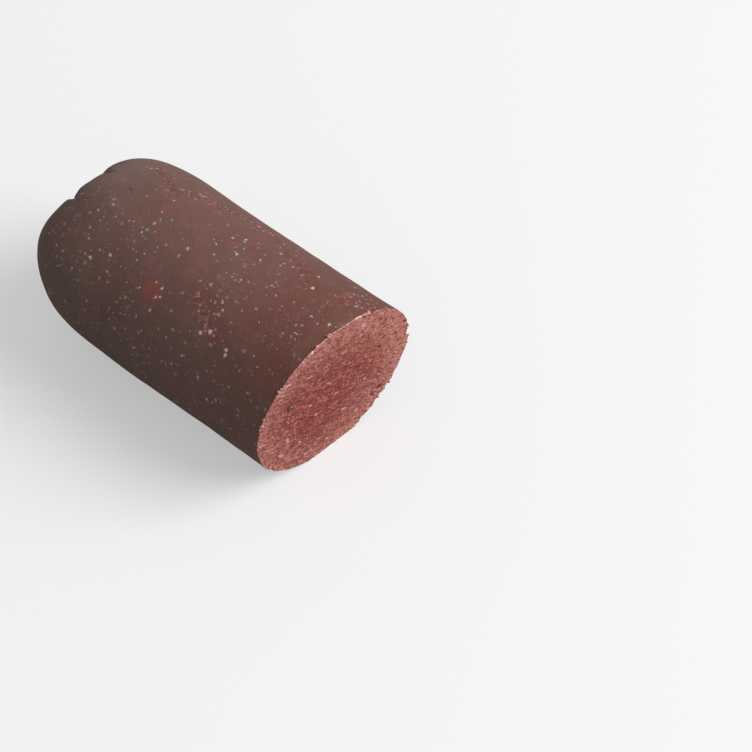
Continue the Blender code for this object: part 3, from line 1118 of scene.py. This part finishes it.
def make_lump_tree():
    tree, given, result = new_group("lumps", "GeometryNodeTree", [
        ("Geometry", SHAPE, None), ("Detail", "NodeSocketInt", 2), ("Push", VECTOR, None),
        ("Push Scale", FLOAT, 1000.0), ("Finish", SUBSTANCE, None)], [("Geometry", SHAPE)])
    ball = geometry(tree, "MeshIcoSphere", Radius=1.0, Subdivisions=given["Detail"])
    turn = tree.nodes.new("FunctionNodeEulerToRotation")
    feed(tree, turn.inputs[0], named(tree, "turn", "FLOAT_VECTOR"))
    shape = geometry(tree, "InstanceOnPoints", Points=given["Geometry"], Instance=ball,
                     Rotation=turn.outputs[0], Scale=named(tree, "size", "FLOAT_VECTOR"))
    shape = geometry(tree, "RealizeInstances", Geometry=shape)
    place = tree.nodes.new("GeometryNodeInputPosition").outputs[0]
    push = vectors(tree, "MULTIPLY", stray(tree, place, given["Push Scale"]), given["Push"])
    shape = geometry(tree, "SetPosition", Geometry=shape, Offset=push)
    shape = geometry(tree, "SetShadeSmooth", Geometry=shape)
    shape = geometry(tree, "SetMaterial", Geometry=shape, Material=given["Finish"])
    feed(tree, result["Geometry"], shape)
    return tree


lump_tree = make_lump_tree()
print("lump tree has", len(lump_tree.nodes), "nodes")

# %% [markdown]
# ## Fat flecks in the cut
# The larger bits of fat are few enough to be placed one by one. They lie flat in the cut, mostly long in
# the direction the knife dragged them, and show a tenth of a millimetre above the meat.

# %% Fat flecks
# Across (+Y) and up from the middle of the cut, length and width in mm, turn from the drag in degrees.
FLECKS = (
    (11.2, 22.5, 2.3, 2.2, 20), (10.6, 18.5, 1.6, 0.9, 10), (3.6, 16.5, 1.8, 0.7, 15),
    (-9.3, 16.2, 2.4, 0.8, 12), (-18.8, 20.3, 2.6, 0.9, 15), (10.4, -20.2, 1.3, 0.7, 0),
    (-27.9, -1.3, 1.9, 0.8, -5), (-17.8, -8.7, 2.1, 0.8, -50), (-20.4, -14.1, 2.0, 0.8, -35),
    (18.4, 22.3, 1.0, 0.7, 30), (15.5, -22.5, 1.2, 0.8, 0), (-20.3, 17.1, 1.0, 0.5, 15),
    (-2.0, 6.0, 1.4, 0.4, 10), (-6.5, -6.0, 1.3, 0.5, 5), (1.5, -2.5, 1.0, 0.35, 0),
    (-9.0, 1.0, 1.1, 0.4, 12), (6.0, 8.5, 0.9, 0.4, 20), (-12.5, -14.5, 1.0, 0.5, -20),
    (5.0, -14.0, 1.3, 0.5, 5), (-3.5, 13.0, 1.2, 0.35, 20), (13.0, -6.0, 0.9, 0.5, 0),
    (19.0, -9.5, 1.1, 0.6, -10), (-1.0, -24.0, 1.5, 0.7, 0), (-10.0, -23.5, 1.2, 0.6, -10),
)
FLECK_THICKNESS = 0.09 * MM
LONGER, WIDER = 0.70, 0.80       # half a side, and a little more for what the ball's round edge loses


def build_flecks():
    places, sizes, turns = [], [], []
    for across, up, long_side, wide_side, turn in FLECKS:
        places.append(on_cut_at(across * MM, up * MM))
        sizes.append((FLECK_THICKNESS, LONGER * long_side * MM, WIDER * wide_side * MM))
        turns.append((math.radians(turn) - CUT_TURN, TILT_Y, TILT_Z))
    return point_cloud("fat_flecks", places, sizes, turns)


flecks = run_tree(build_flecks(), lump_tree, Detail=3, Push=FLAT_PUSH * 1.1, Push_Scale=900.0,
                  Finish=fat)
print(len(FLECKS), "flecks,", len(flecks.data.polygons), "faces")

# %% [markdown]
# ## Crumbs round the rim
# Chopped meat crumbles where a blade leaves it, so the lower and far side of the rim carries the most
# crumbs. A few clusters also hang on the near upper side. The random draws have a fixed seed.

# %% Rim crumbs
# Clusters: direction in degrees from straight up towards -Y, spread in degrees, number of crumbs, then
# the largest size and how far in from the rim they reach, in mm. A crumb at less than 0 hangs outside.
CRUMB_CLUSTERS = (
    (-122, 52, 32, 1.25, -0.15, 1.6), (150, 45, 14, 0.9, -0.2, 0.8), (-24, 2, 8, 1.30, -0.6, 0.3),
    (4, 2, 7, 1.20, -0.8, 0.0), (15, 2, 4, 0.80, -0.5, 0.0), (23, 3, 9, 1.20, -0.5, 0.2),
    (47, 4, 12, 1.20, -0.6, 0.3), (72, 6, 9, 1.10, -0.5, 0.4), (-50, 10, 6, 0.80, -0.3, 0.4),
    (88, 6, 5, 0.90, 12.0, 15.0), (-130, 9, 20, 1.00, 4.0, 9.5), (-96, 10, 10, 0.70, 3.0, 9.0),
    (-55, 12, 8, 0.60, 2.0, 7.0),
)
CRUMB_SEED = 11


def build_crumbs():
    draw = np.random.default_rng(CRUMB_SEED)
    places, sizes, turns = [], [], []
    for direction, spread, count, largest, nearest, farthest in CRUMB_CLUSTERS:
        for _ in range(count):
            around = math.radians(direction + spread * draw.uniform(-1.0, 1.0))
            place = rim[int(around / (2.0 * math.pi) * AROUND) % AROUND].copy()
            size = largest * MM * draw.uniform(0.35, 1.0) ** 1.3
            inwards = max(draw.uniform(nearest, farthest) * MM, -0.3 * size)
            place.y += inwards * math.sin(around)
            place.z -= inwards * math.cos(around)
            place.x -= max(0.0, -0.6 * inwards)      # one that hangs outside sits behind the rim
            if inwards > 0.5 * MM:                   # one that lies well inside is laid on the cut
                place = on_cut_at(place.y, place.z - AXIS_HEIGHT)
            place.z = max(place.z, 0.6 * size)
            places.append(place)
            sizes.append([0.5 * size * draw.uniform(0.6, 1.3) for _ in range(3)])
            turns.append([draw.uniform(-math.pi, math.pi) for _ in range(3)])
    return point_cloud("rim_crumbs", places, sizes, turns)


crumbs = run_tree(build_crumbs(), lump_tree, Detail=2, Push=EVEN_PUSH * 0.5, Push_Scale=1700.0,
                  Finish=crumb_meat)
print("crumbs:", len(crumbs.data.polygons), "faces")

# %% [markdown]
# ## The burr on the rim
# Along the top of the rim the knife pulled a thin lip of fat over the edge. It is a line of the rim's own
# points, thickened by a tree: the line becomes a curve, its radius follows a noise, so that it thins out
# and nearly breaks, and a round profile is swept along it.

# %% Rim burr
BURR_FROM, BURR_TO = -26.0, 42.0                   # degrees from straight up towards -Y
BURR_OFFSET = Vector((-0.05, 0.0, 0.05)) * MM      # back and up from the rim's own line


def make_burr_tree():
    tree, given, result = new_group("burr", "GeometryNodeTree", [
        ("Geometry", SHAPE, None), ("Thickness", FLOAT, 0.0), ("Wander", FLOAT, 0.0),
        ("Finish", SUBSTANCE, None)], [("Geometry", SHAPE)])
    line = geometry(tree, "MeshToCurve", Mesh=given["Geometry"])
    place = tree.nodes.new("GeometryNodeInputPosition").outputs[0]
    moved = pushed(tree, place, stray(tree, place, 900.0), given["Wander"])
    line = geometry(tree, "SetPosition", Geometry=line, Position=moved)
    swell = remap(tree, noise(tree, place, 420.0, 3.0, 0.7), 0.38, 0.66, 0.12, 1.0)
    radius = times(tree, times(tree, swell, named(tree, "width")), given["Thickness"])
    profile = geometry(tree, "CurvePrimitiveCircle", Resolution=8, Radius=1.0)
    shape = geometry(tree, "CurveToMesh", Curve=line, Profile_Curve=profile, Scale=radius,
                     Fill_Caps=True)
    shape = geometry(tree, "SetShadeSmooth", Geometry=shape)
    shape = geometry(tree, "RealizeInstances", Geometry=shape)
    shape = geometry(tree, "SetMaterial", Geometry=shape, Material=given["Finish"])
    feed(tree, result["Geometry"], shape)
    return tree


def build_burr():
    """The line of the burr, with a width that rises at its start and thins out towards its end."""
    steps = range(int(BURR_FROM / 360.0 * AROUND), int(BURR_TO / 360.0 * AROUND))
    places = [tuple(rim[step % AROUND] + BURR_OFFSET) for step in steps]
    mesh = bpy.data.meshes.new("rim_burr")
    mesh.from_pydata(places, [(step, step + 1) for step in range(len(places) - 1)], [])
    share = np.linspace(0.0, 1.0, len(places))
    width = fade_in(share, 0.0, 0.12) * (1.0 - 0.9 * fade_in(share, 0.70, 1.0))
    add_values(mesh, "width", width.astype(np.float32))
    return add_object("rim_burr", mesh)


burr = run_tree(build_burr(), make_burr_tree(), Thickness=0.42 * MM, Wander=0.35 * MM, Finish=smear)
print("burr:", len(burr.data.polygons), "faces")

# %% [markdown]
# ## A broken peppercorn
# One peppercorn was cut through by the knife. A bent flake of its dark shell stays in the meat with a
# crumb of its cream-coloured inside.

# %% Peppercorn
PEPPER_PLACE = (-16.8, 7.6)      # across and up from the middle of the cut, in mm
PEPPER_LIFT = Vector((0.08, 0.0, 0.0)) * MM
# Flakes: offset across and up, then thickness, length and width, all in mm, and a turn in degrees.
PEPPER_FLAKES = (
    (0.0, 0.2, 0.40, 2.1, 1.3, 35), (-0.9, 1.0, 0.35, 1.3, 0.8, 60), (1.0, -0.7, 0.35, 1.4, 0.7, -20),
    (-0.7, -1.0, 0.30, 1.0, 0.7, 10), (0.8, 1.1, 0.30, 0.9, 0.6, -40),
)
PEPPER_HEART = ((0.1, 0.3, 0.7, 0.8, 0.6, 40),)


def build_pepper(name, flakes):
    places, sizes, turns = [], [], []
    for across, up, through, long_side, wide_side, turn in flakes:
        place = on_cut_at((PEPPER_PLACE[0] + across) * MM, (PEPPER_PLACE[1] + up) * MM)
        places.append(place + PEPPER_LIFT)
        sizes.append((0.5 * through * MM, 0.5 * long_side * MM, 0.5 * wide_side * MM))
        turns.append((math.radians(turn), TILT_Y, TILT_Z))
    return point_cloud(name, places, sizes, turns)


pepper = run_tree(build_pepper("peppercorn_flakes", PEPPER_FLAKES), lump_tree, Detail=3,
                  Push=FLAT_PUSH * 0.6, Push_Scale=1400.0, Finish=shell)
pepper_heart = run_tree(build_pepper("peppercorn_heart", PEPPER_HEART), lump_tree, Detail=3,
                        Push=EVEN_PUSH * 0.3, Push_Scale=1800.0, Finish=smear)
print("peppercorn:", len(pepper.data.polygons) + len(pepper_heart.data.polygons), "faces")

# %% [markdown]
# ## The floor and the light
# The floor and the air round the log are pale, so nothing competes with it. One large soft lamp stands
# behind the log on its far right and lights its top and its cut. The side towards the floor falls
# into a soft shade, with only the pale air to lift it.

# %% Floor and light
FLOOR_SIZE = 8.0
FLOOR_PALE = (0.46, 0.46, 0.46, 1.0)
FLOOR_TO_LOG = (0.30, 0.29, 0.28, 1.0)
FLOOR_GLOW = 0.42
AIR_STRENGTH, AIR_SEEN = 0.39, 0.95          # how the air lights the log, and how bright it looks
KEY_DIRECTION = Vector((0.68, 0.48, 0.68))
KEY_DISTANCE, KEY_SIZE, KEY_POWER = 2.6, 1.9, 80.0


def add_floor():
    """A pale sheet lit from below: it looks nearly white but throws little light up at the log."""
    bpy.ops.mesh.primitive_plane_add(size=FLOOR_SIZE)
    floor = bpy.context.object
    floor.name = "floor"
    material, tree, shader, _ = new_material("pale_floor")
    camera_ray = tree.nodes.new("ShaderNodeLightPath").outputs["Is Camera Ray"]
    feed(tree, shader.inputs["Base Color"], mixed(tree, camera_ray, FLOOR_TO_LOG, FLOOR_PALE))
    shader.inputs["Emission Color"].default_value = (1.0, 1.0, 1.0, 1.0)
    feed(tree, shader.inputs["Emission Strength"], times(tree, camera_ray, FLOOR_GLOW))
    shader.inputs["Roughness"].default_value = 0.9
    shader.inputs["Specular IOR Level"].default_value = 0.1
    floor.data.materials.append(material)
    return floor


def add_air():
    """Even light from all round. The camera sees it brighter than it lights."""
    world = bpy.data.worlds.new("air")
    world.use_nodes = True
    tree = world.node_tree
    background = tree.nodes["Background"]
    background.inputs["Color"].default_value = (1.0, 1.0, 1.0, 1.0)
    camera_ray = tree.nodes.new("ShaderNodeLightPath").outputs["Is Camera Ray"]
    strength = remap(tree, camera_ray, 0.0, 1.0, AIR_STRENGTH, AIR_SEEN, "LINEAR")
    feed(tree, background.inputs["Strength"], strength)
    bpy.context.scene.world = world


def add_key_lamp():
    """A square lamp that looks at the log."""
    back = KEY_DIRECTION.normalized()
    lamp = bpy.data.lights.new("key", "AREA")
    lamp.size = KEY_SIZE
    lamp.energy = KEY_POWER
    holder = add_object("key", lamp)
    holder.location = Vector((0.0, 0.0, AXIS_HEIGHT)) + back * KEY_DISTANCE
    holder.rotation_euler = back.to_track_quat("Z", "Y").to_euler()


floor = add_floor()
add_air()
add_key_lamp()
print("floor and light ready")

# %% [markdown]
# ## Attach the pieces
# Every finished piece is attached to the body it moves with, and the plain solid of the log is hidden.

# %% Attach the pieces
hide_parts("sausage")
for piece, finish in ((log, "rind"), (flecks, "fat"), (crumbs, "cut_meat"), (burr, "fat"),
                      (pepper, "peppercorn"), (pepper_heart, "fat")):
    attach(piece, "root")

bpy.context.view_layer.update()
